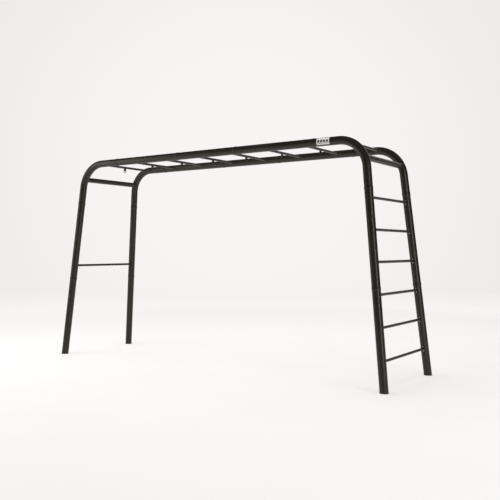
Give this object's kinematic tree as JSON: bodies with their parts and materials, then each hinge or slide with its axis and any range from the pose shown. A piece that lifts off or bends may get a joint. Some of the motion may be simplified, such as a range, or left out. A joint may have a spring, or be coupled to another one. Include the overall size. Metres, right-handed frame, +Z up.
{
  "type": "monkey bars",
  "caption": "Free-standing playground monkey bars: two leaning side frames of round tube joined by top rungs, cross tubes, a ladder end and a low step rung, with hanging rings.",
  "frame": {"origin": "on the ground, midway between the four feet", "axes": "+X along the beams towards the ladder end, +Y across, away from the labelled side frame, +Z up"},
  "size_m": [4.0148, 1.1086, 2.202],
  "materials": {
    "coated_tube": "satin charcoal powder coat over steel tube",
    "ring_coat": "satin black coating on steel wire",
    "screws": "plain stainless steel, domed heads",
    "joint_bolts": "blackened steel, domed heads",
    "inserts": "plain steel",
    "foot_rubber": "matt black",
    "label": "satin light grey film"
  },
  "bodies": {
    "frame": {"near_left_lower_leg": "coated_tube", "near_left_upper_leg": "coated_tube", "near_left_corner": "coated_tube", "near_left_beam": "coated_tube", "near_middle_beam": "coated_tube", "near_right_beam": "coated_tube", "near_right_corner": "coated_tube", "near_right_upper_leg": "coated_tube", "near_right_lower_leg": "coated_tube", "far_left_lower_leg": "coated_tube", "far_left_upper_leg": "coated_tube", "far_left_corner": "coated_tube", "far_left_beam": "coated_tube", "far_middle_beam": "coated_tube", "far_right_beam": "coated_tube", "far_right_corner": "coated_tube", "far_right_upper_leg": "coated_tube", "far_right_lower_leg": "coated_tube", "near_left_foot": "foot_rubber", "near_right_foot": "foot_rubber", "far_left_foot": "foot_rubber", "far_right_foot": "foot_rubber", "left_cross_tube": "coated_tube", "right_cross_tube": "coated_tube", "top_rung_1": "coated_tube", "top_rung_2": "coated_tube", "top_rung_3": "coated_tube", "top_rung_4": "coated_tube", "top_rung_5": "coated_tube", "top_rung_6": "coated_tube", "top_rung_7": "coated_tube", "top_rung_8": "coated_tube", "ladder_rung_1": "coated_tube", "ladder_rung_2": "coated_tube", "ladder_rung_3": "coated_tube", "ladder_rung_4": "coated_tube", "ladder_rung_5": "coated_tube", "ladder_rung_6": "coated_tube", "step_rung": "coated_tube", "top_rung_flanges": "coated_tube", "ladder_rung_flanges": "coated_tube", "step_rung_flanges": "coated_tube", "top_rung_screws": "screws", "ladder_rung_screws": "screws", "step_rung_screws": "screws", "joint_bolts": "joint_bolts", "rung_inserts": "inserts", "joint_inserts": "inserts", "ring_lugs": "coated_tube", "label_plate": "label"},
    "ring_1": {"ring_1": "ring_coat"},
    "ring_2": {"ring_2": "ring_coat"},
    "ring_3": {"ring_3": "ring_coat"},
    "ring_4": {"ring_4": "ring_coat"},
    "ring_5": {"ring_5": "ring_coat"},
    "ring_6": {"ring_6": "ring_coat"},
    "ring_7": {"ring_7": "ring_coat"},
    "ring_8": {"ring_8": "ring_coat"}
  },
  "joints": [
    {"name": "ring_1_swing", "type": "hinge", "parent": "frame", "child": "ring_1", "pos_m": [-1.5213, 0, 2.1311], "axis": [1, 0, 0], "range_deg": [-110, 110]},
    {"name": "ring_2_swing", "type": "hinge", "parent": "frame", "child": "ring_2", "pos_m": [-1.0867, 0, 2.133], "axis": [1, 0, 0], "range_deg": [-110, 110]},
    {"name": "ring_3_swing", "type": "hinge", "parent": "frame", "child": "ring_3", "pos_m": [-0.652, 0, 2.133], "axis": [1, 0, 0], "range_deg": [-110, 110]},
    {"name": "ring_4_swing", "type": "hinge", "parent": "frame", "child": "ring_4", "pos_m": [-0.2173, 0, 2.133], "axis": [1, 0, 0], "range_deg": [-110, 110]},
    {"name": "ring_5_swing", "type": "hinge", "parent": "frame", "child": "ring_5", "pos_m": [0.2173, 0, 2.133], "axis": [1, 0, 0], "range_deg": [-110, 110]},
    {"name": "ring_6_swing", "type": "hinge", "parent": "frame", "child": "ring_6", "pos_m": [0.652, 0, 2.133], "axis": [1, 0, 0], "range_deg": [-110, 110]},
    {"name": "ring_7_swing", "type": "hinge", "parent": "frame", "child": "ring_7", "pos_m": [1.0867, 0, 2.133], "axis": [1, 0, 0], "range_deg": [-110, 110]},
    {"name": "ring_8_swing", "type": "hinge", "parent": "frame", "child": "ring_8", "pos_m": [1.5213, 0, 2.1311], "axis": [1, 0, 0], "range_deg": [-110, 110]}
  ]
}
